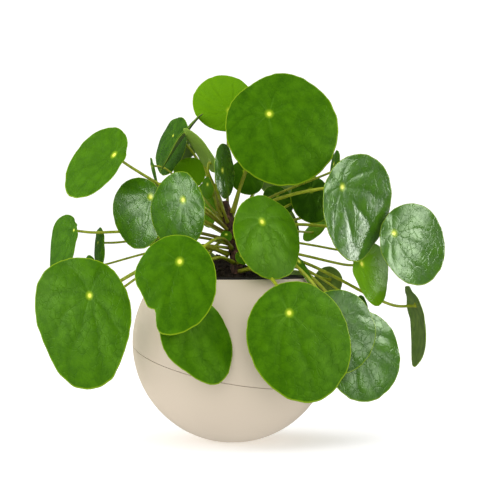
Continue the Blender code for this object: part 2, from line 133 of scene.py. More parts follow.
# Planter and growing pot
ROUND_SEGMENTS = 192
WALL = 3.0 * MM
FOOT_RADIUS = 20.0 * MM
RIM_ROUNDING = 1.2 * MM
ARC_STEPS = 64
SEAM_HEIGHT = 76.0 * MM
SEAM_NORMAL = Vector((0.18, -0.17, 1)).normalized()
SEAM_GAP = 0.5 * MM
COLLAR_REACH = 6.0 * MM
COLLAR_WALL = 1.8 * MM
COLLAR_FIT = 0.5 * MM
COLLAR_ARC = (25, -40)  # the part of the ball that the collar is cut from, in degrees
POT_WALL = 1.4 * MM
POT_FLOOR_RADIUS = 50.0 * MM
FLANGE_THICKNESS = 1.5 * MM
FLANGE_REACH = 2.6 * MM
DRAIN_HOLES = 6
DRAIN_RADIUS = 4.0 * MM
DRAIN_RING = 0.62  # how far out the holes lie, as a share of the floor's radius
SHARP_ANGLE = 40  # edges sharper than this stay sharp, in degrees

# Trunk and soil
TRUNK_RING = 12  # points in each ring of the CAD trunk
TRUNK_SIDES = 56
TRUNK_STEP = 0.7 * MM
TRUNK_LUMP = 6 * MM
SCAR_STEP = 2.6 * MM  # how much higher each leaf scar lies than the one before
SCAR_TURN = math.radians(137.5)
SCAR_WIDTH = 2.6 * MM
SCAR_HEIGHT = 1.5 * MM
BARK_LIFT = (0.35 * MM, 0.55 * MM, -0.25 * MM)  # of the rough bark, of the scars, and of all of it
SCALE_STEPS = 4
SCALE_THICKNESS = 0.25 * MM
SCALE_TURNS = (-32, 28)  # the scales stand to each side of a leaf's foot, in degrees
SOIL_SECTORS = 160
SOIL_RINGS = 64
SOIL_INSET = 0.985  # the CAD soil is read this share of the way out, so that a ray is sure to meet it
SOIL_TAPER = 0.76  # the soil's radius at the bottom, as a share of the one at the top
SOIL_LUMP_SIZE = 5 * MM
SOIL_LUMP_HEIGHT = 1.3 * MM
SOIL_DROP = 2 * MM  # how far the soil may lie below its edge
SOIL_SHARP_ANGLE = 50
CRUMBS = 420

# The studio
CAMERA_PLACE = (0.007, -1.4, 0.1895)
CAMERA_LENS = 110.5
AIM_HEIGHT = 0.18  # the soft boxes face the middle of the plant
FLOOR_RADIUS = 6
FLOOR_GLOW = 0.18
OVERHEAD_STRENGTH = 0.8
OVERHEAD_SPREAD = math.radians(90)

# The white world's strength in reflections, and what is added for the camera and for lit surfaces
WORLD_STRENGTH = 0.1
CAMERA_EXTRA = 1.05
SURFACE_EXTRA = 0.82

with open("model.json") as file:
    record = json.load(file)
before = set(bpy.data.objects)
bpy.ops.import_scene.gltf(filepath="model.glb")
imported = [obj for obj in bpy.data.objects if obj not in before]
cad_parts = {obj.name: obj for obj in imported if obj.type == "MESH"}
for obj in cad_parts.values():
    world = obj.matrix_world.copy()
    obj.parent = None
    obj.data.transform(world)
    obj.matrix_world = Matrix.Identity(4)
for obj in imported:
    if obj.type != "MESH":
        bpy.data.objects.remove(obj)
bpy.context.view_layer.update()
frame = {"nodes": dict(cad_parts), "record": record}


# Meshes -----------------------------------------------------------------------------------------------


def ring_mesh(name, rings, start=None, end=None, joined=False):
    """A mesh from rings of equally many points. start and end are points that close it, if given."""
    rings = np.asarray(rings)
    count, sides = rings.shape[:2]
    points = [tuple(p) for p in rings.reshape(-1, 3)]
    faces = []
    for i in range(count if joined else count - 1):
        low, high = i * sides, (i + 1) % count * sides
        for j in range(sides):
            k = (j + 1) % sides
            faces.append((low + j, low + k, high + k, high + j))
    if start is not None:
        faces += [(len(points), (j + 1) % sides, j) for j in range(sides)]
        points.append(tuple(start))
    if end is not None:
        last = (count - 1) * sides
        faces += [(len(points), last + j, last + (j + 1) % sides) for j in range(sides)]
        points.append(tuple(end))
    mesh = bpy.data.meshes.new(name)
    mesh.from_pydata(points, [], faces)
    return mesh


def outward(mesh):
    """Turns a closed mesh's faces out."""
    shape = bmesh.new()
    shape.from_mesh(mesh)
    bmesh.ops.recalc_face_normals(shape, faces=shape.faces)
    shape.to_mesh(mesh)
    shape.free()


def piece(name, mesh, slot, nodes, *finishes, sharp=None):
    """A visible piece: it rides on the plant's one body and stands for CAD nodes."""
    made = bpy.data.objects.new(name, mesh)
    bpy.context.scene.collection.objects.link(made)
    for finish in finishes:
        mesh.materials.append(finish)
    mesh.shade_smooth()
    if sharp:
        mesh.set_sharp_from_angle(angle=math.radians(sharp))
    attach(made, "root")
    if nodes:
        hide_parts(*nodes)
    return made


def point_values(mesh, name, values, kind="FLOAT"):
    """Stores a value at each point of a mesh, for its material to read."""
    attribute = mesh.attributes.new(name, kind, "POINT")
    field = "vector" if kind == "FLOAT_VECTOR" else "value"
    attribute.data.foreach_set(field, np.asarray(values, np.float32).ravel())


def revolved(profile):
    """A round ring about the Z axis for each (radius, height) of a profile."""
    angles = np.arange(ROUND_SEGMENTS) * math.tau / ROUND_SEGMENTS
    circle = np.stack([np.cos(angles), np.sin(angles), 0 * angles], -1)
    return [radius * circle + (0, 0, height) for radius, height in profile]


def turned(name, profile):
    """A closed solid of revolution from a profile that starts and ends on the axis."""
    mesh = ring_mesh(name, revolved(profile[1:-1]), (0, 0, profile[0][1]), (0, 0, profile[-1][1]))
    outward(mesh)
    return mesh


def arc(centre, radius, start, end, steps):
    """Points on an arc in a profile, from one angle to another, in degrees up from +radius."""
    angles = np.radians(np.linspace(start, end, steps + 1))
    return [(centre[0] + radius * math.cos(a), centre[1] + radius * math.sin(a)) for a in angles]


# Materials --------------------------------------------------------------------------------------------


class Nodes:
    """A material's nodes, with short ways to add and join them."""

    def __init__(self, name):
        self.material = bpy.data.materials.new(name)
        self.material.use_nodes = True
        self.tree = self.material.node_tree
        self.shader = self.tree.nodes["Principled BSDF"]

    def put(self, value, socket):
        """Sets a socket to a number or colour, or joins an output to it."""
        if isinstance(value, bpy.types.NodeSocket):
            self.tree.links.new(value, socket)
        else:
            socket.default_value = value

    def finish(self, **values):
        """Sets the shader's sockets: base_color sets Base Color."""
        for name, value in values.items():
            self.put(value, self.shader.inputs[name.replace("_", " ").title()])
        return self.material

    def math(self, operation, first, second):
        """The result of an operation on two numbers."""
        node = self.tree.nodes.new("ShaderNodeMath")
        node.operation = operation
        self.put(first, node.inputs[0])
        self.put(second, node.inputs[1])
        return node.outputs[0]

    def ramp(self, value, low, high, to_low=0.0, to_high=1.0):
        """Eases from to_low to to_high as value goes from low to high."""
        node = self.tree.nodes.new("ShaderNodeMapRange")
        node.interpolation_type = "SMOOTHSTEP"
        for number, given in enumerate((value, low, high, to_low, to_high)):
            self.put(given, node.inputs[number])
        return node.outputs[0]

    def mix(self, share, first, second):
        """A colour between two others."""
        node = self.tree.nodes.new("ShaderNodeMix")
        node.data_type = "RGBA"
        self.put(share, node.inputs[0])
        self.put(first, node.inputs[6])
        self.put(second, node.inputs[7])
        return node.outputs[2]

    def stored(self, name, output="Fac"):
        """A value that the mesh stores at its points."""
        node = self.tree.nodes.new("ShaderNodeAttribute")
        node.attribute_name = name
        return node.outputs[output]

    def place(self):
        """The point's place on the object."""
        return self.tree.nodes.new("ShaderNodeTexCoord").outputs["Object"]

    def scaled(self, vector, factors):
        """A vector with each part multiplied by its own factor."""
        node = self.tree.nodes.new("ShaderNodeVectorMath")
        node.operation = "MULTIPLY"
        self.put(vector, node.inputs[0])
        node.inputs[1].default_value = factors
        return node.outputs[0]

    def added(self, first, second):
        """The sum of two vectors."""
        node = self.tree.nodes.new("ShaderNodeVectorMath")
        node.operation = "ADD"
        self.put(first, node.inputs[0])
        self.put(second, node.inputs[1])
        return node.outputs[0]

    def clouds(self, vector, scale, detail=3.0, roughness=0.5, output="Fac"):
        """Soft noise from 0 to 1, or three of them with the output Color."""
        node = self.tree.nodes.new("ShaderNodeTexNoise")
        self.put(vector, node.inputs["Vector"])
        node.inputs["Scale"].default_value = scale
        node.inputs["Detail"].default_value = detail
        node.inputs["Roughness"].default_value = roughness
        return node.outputs[output]

    def cells(self, vector, scale, feature="F1"):
        """The distance to the middle, or to the wall, of cells."""
        node = self.tree.nodes.new("ShaderNodeTexVoronoi")
        node.feature = feature
        self.put(vector, node.inputs["Vector"])
        node.inputs["Scale"].default_value = scale
        return node.outputs["Distance"]

    def bump(self, height, distance, strength=1.0):
        """A normal that makes a surface look as uneven as height says."""
        node = self.tree.nodes.new("ShaderNodeBump")
        node.inputs["Distance"].default_value = distance
        node.inputs["Strength"].default_value = strength
        self.put(height, node.inputs["Height"])
        return node.outputs[0]


def toned(n, green, young, old, most):
    """A green, moved toward young where the stored tone is above 0, and up to most toward old below 0."""
    tone = n.stored("tone")
    green = n.mix(n.ramp(tone, 0, 1), green, young)
    return n.mix(n.ramp(tone, 0, -1, 0, most), green, old)


def upper_colour(n, fine_veins, fading, patches):
    """A mottled green with dark fine veins, painted shade along the main veins, painted light on the
    puffs' crowns between them, pale rays, the yellow dot and a thin pale margin.
    """
    from_dot, between = n.stored("from_dot"), n.stored("between")
    green = n.mix(patches, (0.036, 0.13, 0.0012, 1), (0.056, 0.174, 0.0016, 1))
    speckle = n.ramp(n.clouds(n.place(), 700, 2), 0.45, 0.75, 0, 0.3)
    green = n.mix(speckle, green, (0.085, 0.22, 0.004, 1))
    green = n.mix(n.math("MULTIPLY", fine_veins, 0.24), green, (0.02, 0.08, 0.002, 1))
    green = toned(n, green, (0.125, 0.31, 0.002, 1), (0.014, 0.055, 0.003, 1), 0.8)
    # Painted shade: the main veins' valleys are darker, as if the puffs beside them shaded them
    painted_vein_shade = n.math("MULTIPLY", n.ramp(between, 0.0, 0.4, 0.27, 0.0), n.ramp(from_dot, 4, 16))
    green = n.mix(n.math("MULTIPLY", painted_vein_shade, fading), green, (0.012, 0.06, 0.0008, 1))
    # Painted light: the puffs' raised crowns between the main veins are lighter, as where light falls on
    # them
    crown = n.math("MULTIPLY", n.ramp(between, 0.5, 1.0, 0.0, 0.35), n.ramp(from_dot, 6, 20))
    green = n.mix(n.math("MULTIPLY", crown, patches), green, (0.085, 0.24, 0.005, 1))
    rays = n.ramp(n.clouds(n.stored("ray", "Vector"), 3.0, 2), 0.5, 0.72)
    rays_near_dot = n.math("MULTIPLY", rays, n.ramp(from_dot, 2, 22, 0.4, 0.0))
    green = n.mix(rays_near_dot, green, (0.14, 0.32, 0.03, 1))
    green = n.mix(n.ramp(from_dot, 1.2, 5.5, 0.8, 0.0), green, (0.42, 0.6, 0.02, 1))
    green = n.mix(n.ramp(from_dot, 1.1, 2.7, 1.0, 0.0), green, (0.88, 0.9, 0.12, 1))
    return n.mix(n.ramp(n.stored("share"), 0.978, 0.992, 0, 0.8), green, (0.27, 0.42, 0.012, 1))


def leaf_upper(name, specular, tint, roughness, depth):
    """A waxy upper side, with shallow cells between fine veins that fade in and out."""
    n = Nodes(name)
    n.shader.inputs["Specular IOR Level"].default_value = specular
    n.shader.inputs["Specular Tint"].default_value = tint
    flat = n.stored("flat", "Vector")
    wander = n.scaled(n.clouds(flat, 3.0, output="Color"), (0.22, 0.22, 0))
    cells = n.cells(n.added(flat, wander), 4.2, "DISTANCE_TO_EDGE")
    fine_veins = n.ramp(cells, 0.0, 0.06, 1.0, 0.0)
    fading = n.ramp(n.clouds(flat, 2.2, 2), 0.4, 0.6, 0.25, 1.0)
    patches = n.ramp(n.clouds(flat, 3.2, 4), 0.3, 0.72)
    green = upper_colour(n, fine_veins, fading, patches)
    cell_tops = n.math("MULTIPLY", n.ramp(cells, 0.0, 0.1), fading)
    crinkle = n.math("MULTIPLY", n.clouds(flat, 10, 3, 0.55), 0.7)
    grain = n.math("MULTIPLY", n.clouds(n.place(), 1300, 2), 0.05)
    height = n.math("ADD", cell_tops, n.math("ADD", crinkle, grain))
    rough = n.ramp(patches, 0, 1, roughness + 0.04, roughness - 0.04)
    return n.finish(base_color=green, roughness=rough, normal=n.bump(height, depth))


def leaf_underside():
    """A paler, duller underside, with pale rays round the stalk."""
    n = Nodes("leaf_underside")
    patches = n.ramp(n.clouds(n.stored("flat", "Vector"), 3, 3), 0.35, 0.7)
    green = n.mix(patches, (0.085, 0.17, 0.012, 1), (0.14, 0.25, 0.025, 1))
    green = toned(n, green, (0.24, 0.42, 0.03, 1), (0.035, 0.085, 0.004, 1), 0.85)
    rays = n.ramp(n.clouds(n.stored("ray", "Vector"), 3.4, 2), 0.52, 0.68)
    rays_near_stalk = n.math("MULTIPLY", rays, n.ramp(n.stored("from_dot"), 2, 34, 0.4, 0.0))
    green = n.mix(rays_near_stalk, green, (0.28, 0.4, 0.07, 1))
    green = n.mix(n.ramp(n.stored("share"), 0.975, 0.99, 0, 0.8), green, (0.3, 0.45, 0.02, 1))
    height = n.clouds(n.place(), 260, 4, 0.6)
    return n.finish(base_color=green, roughness=0.55, normal=n.bump(height, 0.0005, 0.4))


def leaf_stalk():
    """A smooth yellow-green stalk, browner where it leaves the trunk."""
    n = Nodes("leaf_stalk")
    place = n.place()
    streaks = n.clouds(place, 160, 3)
    green = n.mix(n.ramp(streaks, 0.3, 0.7), (0.28, 0.35, 0.008, 1), (0.42, 0.49, 0.02, 1))
    blush = n.ramp(n.clouds(place, 24, 2), 0.42, 0.62)
    brown = n.math("MULTIPLY", n.ramp(n.stored("share"), 0.0, 0.5, 0.75, 0.0), blush)
    green = n.mix(brown, green, (0.16, 0.09, 0.012, 1))
    height = n.clouds(place, 1100, 2)
    return n.finish(base_color=green, roughness=0.38, normal=n.bump(height, 0.0003, 0.3))


def planter_plastic():
    """Smooth matte beige plastic, very slightly uneven."""
    n = Nodes("planter_plastic")
    place = n.place()
    cloud = n.ramp(n.clouds(place, 9, 2), 0.3, 0.7)
    beige = n.mix(cloud, (0.73, 0.62, 0.48, 1), (0.75, 0.64, 0.5, 1))
    rough = n.ramp(n.clouds(place, 60, 3), 0.3, 0.7, 0.44, 0.52)
    grain = n.clouds(place, 2600, 2)
    return n.finish(base_color=beige, roughness=rough, normal=n.bump(grain, 0.0001, 0.35))


def pot_plastic():
    """Thin black moulded plastic with a dull shine and a little dust."""
    n = Nodes("pot_plastic")
    place = n.place()
    dust = n.ramp(n.clouds(place, 120, 4), 0.55, 0.8, 0, 0.5)
    black = n.mix(dust, (0.011, 0.011, 0.012, 1), (0.04, 0.034, 0.028, 1))
    rough = n.ramp(n.clouds(place, 200, 3), 0.3, 0.7, 0.35, 0.55)
    grain = n.clouds(place, 1500, 2)
    return n.finish(base_color=black, roughness=rough, normal=n.bump(grain, 0.0001, 0.4))


def soil_crumbs():
    """Dark damp potting soil."""
    n = Nodes("soil_crumbs")
    place = n.place()
    damp = n.ramp(n.clouds(place, 260, 4), 0.3, 0.7)
    earth = n.mix(damp, (0.009, 0.0055, 0.0035, 1), (0.035, 0.021, 0.012, 1))
    fibre = n.ramp(n.cells(place, 520, "DISTANCE_TO_EDGE"), 0.02, 0.06, 0.35, 0.0)
    earth = n.mix(fibre, earth, (0.075, 0.045, 0.022, 1))
    height = n.math("ADD", n.clouds(place, 700, 5, 0.65), n.cells(place, 380))
    return n.finish(base_color=earth, roughness=0.92, normal=n.bump(height, 0.0009, 0.8))


def trunk_bark():
    """Dark brown bark with paler leaf scars and fine cracks."""
    n = Nodes("trunk_bark")
    place, scar = n.place(), n.stored("scar")
    tall = n.scaled(place, (1, 1, 0.35))
    streaks = n.ramp(n.clouds(tall, 420, 5, 0.6), 0.3, 0.7)
    bark = n.mix(streaks, (0.04, 0.018, 0.01, 1), (0.17, 0.075, 0.04, 1))
    bark = n.mix(n.ramp(scar, 0.25, 0.9, 0, 0.7), bark, (0.26, 0.13, 0.075, 1))
    cracks = n.ramp(n.cells(tall, 520, "DISTANCE_TO_EDGE"), 0.0, 0.08, 0.8, 0.0)
    bark = n.mix(cracks, bark, (0.01, 0.005, 0.003, 1))
    height = n.math("ADD", n.clouds(tall, 800, 4, 0.6), n.math("MULTIPLY", cracks, -0.6))
    return n.finish(base_color=bark, roughness=0.8, normal=n.bump(height, 0.0006, 0.8))


def papery_scale():
    """Dry brown-black papery scales."""
    n = Nodes("papery_scale")
    place = n.place()
    stains = n.ramp(n.clouds(place, 700, 3), 0.3, 0.7)
    brown = n.mix(stains, (0.012, 0.008, 0.006, 1), (0.06, 0.034, 0.018, 1))
    height = n.clouds(place, 1800, 3)
    return n.finish(base_color=brown, roughness=0.7, normal=n.bump(height, 0.0003, 0.6))


# Leaves -----------------------------------------------------------------------------------------------


def layers_from(centre):
    """A mesh's points in layers, by how many edges lie between them and centre."""
    seen = {centre}
    layers = [[centre]]
    while layers[-1]:
        around = {edge.other_vert(vertex) for vertex in layers[-1] for edge in vertex.link_edges} - seen
        seen |= around
        layers.append(list(around))
    return [np.array([vertex.co for vertex in layer]) for layer in layers[:-1]]


def read_leaf(node):
    """A CAD leaf: its rings from the tip on, which way it faces, and its stalk's line and radii."""
    shape = bmesh.new()
    shape.from_mesh(frame["nodes"][node].data)
    bmesh.ops.remove_doubles(shape, verts=shape.verts, dist=0.001 * MM)
    shape.normal_update()
    centre = max(shape.verts, key=lambda vertex: len(vertex.link_edges))
    dot, upper = np.array(centre.co), np.array(centre.normal)
    layers = layers_from(centre)
    shape.free()
    edge = layers[CAD_EDGE_LAYER] - dot
    tip = edge[np.argmax(np.linalg.norm(edge, axis=1))]
    tip = tip - upper * (tip @ upper)
    tip /= np.linalg.norm(tip)
    side = np.cross(upper, tip)
    rings = [np.tile(dot, (CAD_SECTORS, 1))]
    for layer in layers[1 : CAD_EDGE_LAYER + 1]:
        away = layer - dot
        angles = (np.arctan2(away @ side, away @ tip) + math.pi / CAD_SECTORS) % math.tau
        rings.append(layer[np.argsort(angles)])
    stalk = layers[CAD_STALK_LAYER:][::-1]
    line = np.array([layer.mean(axis=0) for layer in stalk])
    radii = np.array([np.linalg.norm(layer - layer.mean(axis=0), axis=1).mean() for layer in stalk])
    return np.array(rings), upper, line, radii


def more_round(rings, steps):
    """The same rings with more points, on smooth closed curves through the ones given.

    The curves are cubic splines whose knots lie as far apart as the outer ring's points.
    """
    count = rings.shape[1]
    gaps = np.linalg.norm(np.roll(rings[-1], -1, axis=0) - rings[-1], axis=1)
    before = np.roll(gaps, 1)
    rises = (np.roll(rings, -1, axis=1) - rings) / gaps[:, None]
    bends = np.zeros((count, count))
    for i in range(count):
        bends[i, i - 1] += before[i]
        bends[i, i] += 2 * (before[i] + gaps[i])
        bends[i, (i + 1) % count] += gaps[i]
    change = 6 * (rises - np.roll(rises, 1, axis=1))
    curving = np.einsum("ij,rjk->rik", np.linalg.inv(bends), change)
    following = np.roll(curving, -1, axis=1)
    found = []
    for t in np.arange(steps) / steps:
        near, far = ((1 - t) ** 3 - (1 - t)) / 6, (t**3 - t) / 6
        bow = (near * curving + far * following) * gaps[:, None] ** 2
        found.append((1 - t) * rings + t * np.roll(rings, -1, axis=1) + bow)
    return np.stack(found, axis=2).reshape(len(rings), count * steps, 3)


def blade_points(rings, shares):
    """Points of the blade at shares of the way out: a cubic through the CAD rings."""
    points = 0
    for own, ring in zip(CAD_SHARES, rings):
        others = [share for share in CAD_SHARES if share != own]
        weight = np.prod([(shares - other) / (own - other) for other in others], axis=0)
        points = points + weight[..., None] * ring
    return points


def edge_shape(node, sectors, seed):
    """How far out each sector of a blade reaches, as a share: a little uneven, and less in a notch."""
    turns = np.arange(sectors) * math.tau / sectors
    uneven = sum(size * np.sin(waves * turns + waves * seed) for waves, size in EDGE_WAVES)
    at, depth, spread = NOTCHES.get(node, NO_NOTCH)
    away = (np.degrees(turns) - at + 180) % 360 - 180
    return 1 + uneven - depth * np.exp(-((away / spread) ** 2))


def surface_normals(points, upper):
    """Unit normals of a grid of rings, on the upper side."""
    outward_step = np.gradient(points, axis=0)
    round_step = np.roll(points, -1, axis=1) - np.roll(points, 1, axis=1)
    normals = np.cross(outward_step, round_step)
    normals /= np.linalg.norm(normals, axis=2, keepdims=True)
    return normals * np.sign(normals @ upper)[..., None]


def smooth_noise(points, seed):
    """Noise from about -1 to 1 at each point of an array."""
    shift = Vector((seed * 7.3, seed * 3.1, 0))
    flat = points.reshape(-1, points.shape[-1])
    values = [noise.noise(Vector((p[0], p[1], 0)) + shift) for p in flat]
    return np.array(values).reshape(points.shape[:-1])


def between_veins(flat, shares, seed):
    """0 on a blade's main veins, rising to 1 halfway between two of them."""
    angles = np.arctan2(flat[..., 1], flat[..., 0])
    wander = VEIN_WANDER * smooth_noise(flat / VEIN_WANDER_SIZE, seed + 0.3)
    root_angles = angles + VEIN_BEND * shares * np.sin(angles) + wander
    between = np.interp(np.degrees(root_angles), VEINS, range(len(VEINS))) % 1
    return 4 * between * (1 - between)


def relief(flat, reach, shares, seed):
    """How far the blade's surface stands up: a dimple, puffs between veins, quilting and a wavy edge."""
    from_dot = np.linalg.norm(flat, axis=2)
    angles = np.arctan2(flat[..., 1], flat[..., 0])
    size = np.clip(reach.max() / FULL_REACH, LEAST_RELIEF, 1)
    dimple = -DIMPLE_DEPTH * np.exp(-((from_dot / DIMPLE_RADIUS) ** 2))
    rising = np.clip(from_dot / (PUFF_FULL_AT * size), 0, 1) ** 1.3
    puff = between_veins(flat, shares, seed) ** 0.8 * rising * (1 - 0.7 * shares**3)
    quilt = smooth_noise(flat / QUILT_SIZE, seed) + 0.4 * smooth_noise(2 * flat / QUILT_SIZE, seed + 0.5)
    quilt = quilt * np.clip(from_dot / QUILT_FULL_AT, 0, 1)
    ripple = (np.sin(5 * angles + seed) + 0.6 * np.sin(8 * angles + 2.3 * seed)) * shares**5
    return dimple + size * (PUFF_HEIGHT * puff + QUILT_HEIGHT * quilt + RIPPLE_HEIGHT * ripple)


def smooth_line(points, steps):
    """More points along the smooth open curve through the ones given."""
    padded = np.vstack([2 * points[0] - points[1], points, 2 * points[-1] - points[-2]])
    found = []
    for a, b, c, d in zip(padded, padded[1:], padded[2:], padded[3:]):
        squared, cubed = 2 * a - 5 * b + 4 * c - d, 3 * b - a - 3 * c + d
        for t in np.arange(steps) / steps:
            found.append(0.5 * (2 * b + (c - a) * t + squared * t**2 + cubed * t**3))
    return np.array([*found, points[-1]])


def tube_rings(line, radii, sides):
    """Round rings along a line, without twist."""
    along = np.gradient(line, axis=0)
    along /= np.linalg.norm(along, axis=1, keepdims=True)
    across = np.cross(along[0], (0.3, 0.5, 0.8))
    rings = []
    for middle, direction, radius in zip(line, along, radii):
        across = across - direction * (across @ direction)
        across = across / np.linalg.norm(across)
        other = np.cross(direction, across)
        angles = np.arange(sides)[:, None] * math.tau / sides
        rings.append(middle + radius * (np.cos(angles) * across + np.sin(angles) * other))
    return np.array(rings)


def reach_of(rings):
    """How far each point of a blade's edge lies from its dot."""
    return np.linalg.norm(rings[-1] - rings[0], axis=1)


def fine_rings(node, rings, seed):
    """A CAD blade's rings with many points each, and with the uneven edge."""
    reach = reach_of(rings)
    steps = max(3, round(math.tau * reach.mean() / EDGE_STEP / CAD_SECTORS))
    rings = more_round(rings, steps)
    return rings[0] + (rings - rings[0]) * edge_shape(node, CAD_SECTORS * steps, seed)[:, None]


def blade_side(rings, upper, shares, thickness, seed):
    """One side of a blade: its points, and the same points laid flat round the dot."""
    reach = reach_of(rings)
    angles = np.arange(len(reach)) * math.tau / len(reach)
    toward = np.stack([np.cos(angles), np.sin(angles)], -1)
    flat = shares[..., None] * reach[:, None] * toward
    points = blade_points(rings, shares)
    height = relief(flat, reach, shares, seed)
    thinner = thickness * (1 - (1 - EDGE_THICKNESS / BLADE_THICKNESS) * shares**4)
    return points + surface_normals(points, upper) * (height - thinner)[..., None], flat


def blade_mesh(node, rings, upper, neck, seed):
    """A leaf's blade, open at the stalk's neck, with each point's flat place and share of the way out.

    Its faces run from the upper side over the edge to the underside, and those at the dot come last.
    """
    rings = fine_rings(node, rings, seed)
    reach = reach_of(rings)
    count = max(7, round(reach.mean() / RING_STEP))
    middle_shares = np.linspace(DOT_SHARES[-1], EDGE_SHARES[0], count)[1:-1]
    column = np.array([*DOT_SHARES, *middle_shares, *EDGE_SHARES])[:, None]
    over_shares = np.repeat(column, len(reach), axis=1)
    neck_share = np.minimum(neck / reach, 0.5)
    under_shares = 1 - (1 - neck_share) * np.linspace(0, 1, count)[:, None] ** 0.9
    over, over_flat = blade_side(rings, upper, over_shares, 0.0, seed)
    under, under_flat = blade_side(rings, upper, under_shares, BLADE_THICKNESS, seed)
    outward_step = over[-1] - over[-2]
    outward_step /= np.linalg.norm(outward_step, axis=1, keepdims=True)
    brink = (over[-1] + under[0]) / 2 + outward_step * EDGE_THICKNESS / 2
    dot = rings[0][0] - upper * DIMPLE_DEPTH
    mesh = ring_mesh(node, np.concatenate([over, brink[None], under]), start=dot)
    flat = np.concatenate([over_flat, over_flat[-1:], under_flat])
    shares = np.concatenate([over_shares, over_shares[-1:], under_shares])
    return mesh, flat, shares, len(over)


def stalk_mesh(name, line, radii):
    """A stalk, open at the blade, with each point's share of the way along it."""
    fine_line = smooth_line(line, STALK_STEPS)
    along = np.linspace(0, 1, len(fine_line))
    fine_radii = np.interp(along, np.linspace(0, 1, len(radii)), radii)
    swell = 1 + FOOT_SWELL * np.exp(-np.arange(len(fine_line)) / FOOT_STEPS)
    rings = tube_rings(fine_line, fine_radii * swell, STALK_SIDES)
    return ring_mesh(name, rings, start=fine_line[0]), np.append(np.repeat(along, STALK_SIDES), 0.0)


def join_stalk(mesh, stalk, upper_rings, sectors):
    """Joins a blade and its stalk. The underside takes the second finish, and the stalk the third."""
    blade_faces = len(mesh.polygons)
    shape = bmesh.new()
    shape.from_mesh(mesh)
    shape.from_mesh(stalk)
    bpy.data.meshes.remove(stalk)
    rims = [edge for edge in shape.edges if edge.is_boundary]
    bmesh.ops.bridge_loops(shape, edges=rims)
    bmesh.ops.recalc_face_normals(shape, faces=shape.faces)
    shape.faces.ensure_lookup_table()
    for face in shape.faces[blade_faces:]:
        face.material_index = 2
    for face in shape.faces[upper_rings * sectors : blade_faces - sectors]:
        face.material_index = 1
    shape.to_mesh(mesh)
    shape.free()


def store_leaf_values(node, mesh, flat, shares, seed):
    """Stores what the leaf's materials read at each point. All of the stalk's points lie at (0, 0)."""
    away = np.linalg.norm(flat, axis=1)
    from_dot = away / MM
    ray = flat / np.maximum(away, 1e-9)[:, None]
    dot_size = FAINT_DOT_SIZE if node in FAINT_DOTS else min(1, 0.3 + from_dot.max() / 70)
    tone = TONES.get(node, 0) + TONE_SPREAD * math.sin(5 * seed)
    point_values(mesh, "share", shares)
    point_values(mesh, "between", between_veins(flat, shares, seed))
    point_values(mesh, "from_dot", from_dot / dot_size)
    flat_units = np.column_stack([flat / FLAT_UNIT, np.full(len(flat), seed)])
    point_values(mesh, "flat", flat_units, "FLOAT_VECTOR")
    point_values(mesh, "ray", np.column_stack([ray, from_dot / 150 + seed]), "FLOAT_VECTOR")
    point_values(mesh, "tone", np.full(len(flat), tone))


def leaf(node, seed, finishes):
    """One smooth leaf in place of a CAD leaf, with finishes for its upper side, underside and stalk.

    Gives its stalk's foot and the way the stalk starts.
    """
    rings, upper, line, radii = read_leaf(node)
    inward = line[0] - line[1]
    line[0] += inward / np.linalg.norm(inward) * STALK_SEAT
    mesh, flat, shares, upper_rings = blade_mesh(node, rings, upper, radii[-1] * STALK_FLARE, seed)
    stalk, stalk_shares = stalk_mesh(node + "_stalk", line, radii)
    join_stalk(mesh, stalk, upper_rings, shares.shape[1])
    flat = np.vstack([flat.reshape(-1, 2), (0, 0), np.zeros((len(stalk_shares), 2))])
    shares = np.concatenate([shares.ravel(), [0], stalk_shares])
    store_leaf_values(node, mesh, flat, shares, seed)
    slot = next(part["material_slot"] for part in frame["record"]["subparts"] if part["node"] == node)
    piece(node + "_grown", mesh, slot, [node], *finishes)
    return line[0], line[1] - line[0]


def leaves():
    """All the leaves, with their materials. Gives each stalk's foot and the way it starts."""
    underside, stalk = leaf_underside(), leaf_stalk()
    plain = leaf_upper("leaf_upper_plain", 0.18, (0.55, 1, 0.12, 1), roughness=0.36, depth=0.00013)
    glossy = leaf_upper("leaf_upper_glossy", 0.5, (0.85, 1, 0.75, 1), roughness=0.24, depth=0.00009)
    feet = []
    names = sorted(name for name in frame["nodes"] if name.startswith("leaf_"))
    for seed, name in enumerate(names, start=1):
        upper = glossy if name in GLOSSY_LEAVES else plain
        feet.append(leaf(name, seed, (upper, underside, stalk)))
    return feet


# Planter, pot, soil and trunk -------------------------------------------------------------------------


def planter_sizes():
    """The ball's radius, its middle's height and the mouth's height, from the CAD shells."""
    low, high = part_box("planter_upper_shell")
    radius = (high.x - low.x) / 2
    middle = math.sqrt(radius**2 - FOOT_RADIUS**2)
    return radius, middle, high.z


def shell_profile():
    """The planter's wall, from the inside of its floor over the rim to the outside of its foot."""
    radius, middle, top = planter_sizes()
    inner = radius - WALL
    rim_side = top - RIM_ROUNDING
    floor_angle = math.degrees(math.asin((WALL - middle) / inner))
    inner_angle = math.degrees(math.asin((rim_side - middle) / inner))
    outer_angle = math.degrees(math.asin((rim_side - middle) / radius))
    foot_angle = math.degrees(math.asin(-middle / radius))
    inside = arc((0, middle), inner, floor_angle, inner_angle, ARC_STEPS)
    outside = arc((0, middle), radius, outer_angle, foot_angle, ARC_STEPS)
    inner_round = arc((inside[-1][0] + RIM_ROUNDING, rim_side), RIM_ROUNDING, 180, 90, 5)[1:]
    outer_round = arc((outside[0][0] - RIM_ROUNDING, rim_side), RIM_ROUNDING, 90, 0, 5)[:-1]
    return [(0, WALL), *inside, *inner_round, *outer_round, *outside, (0, 0)]


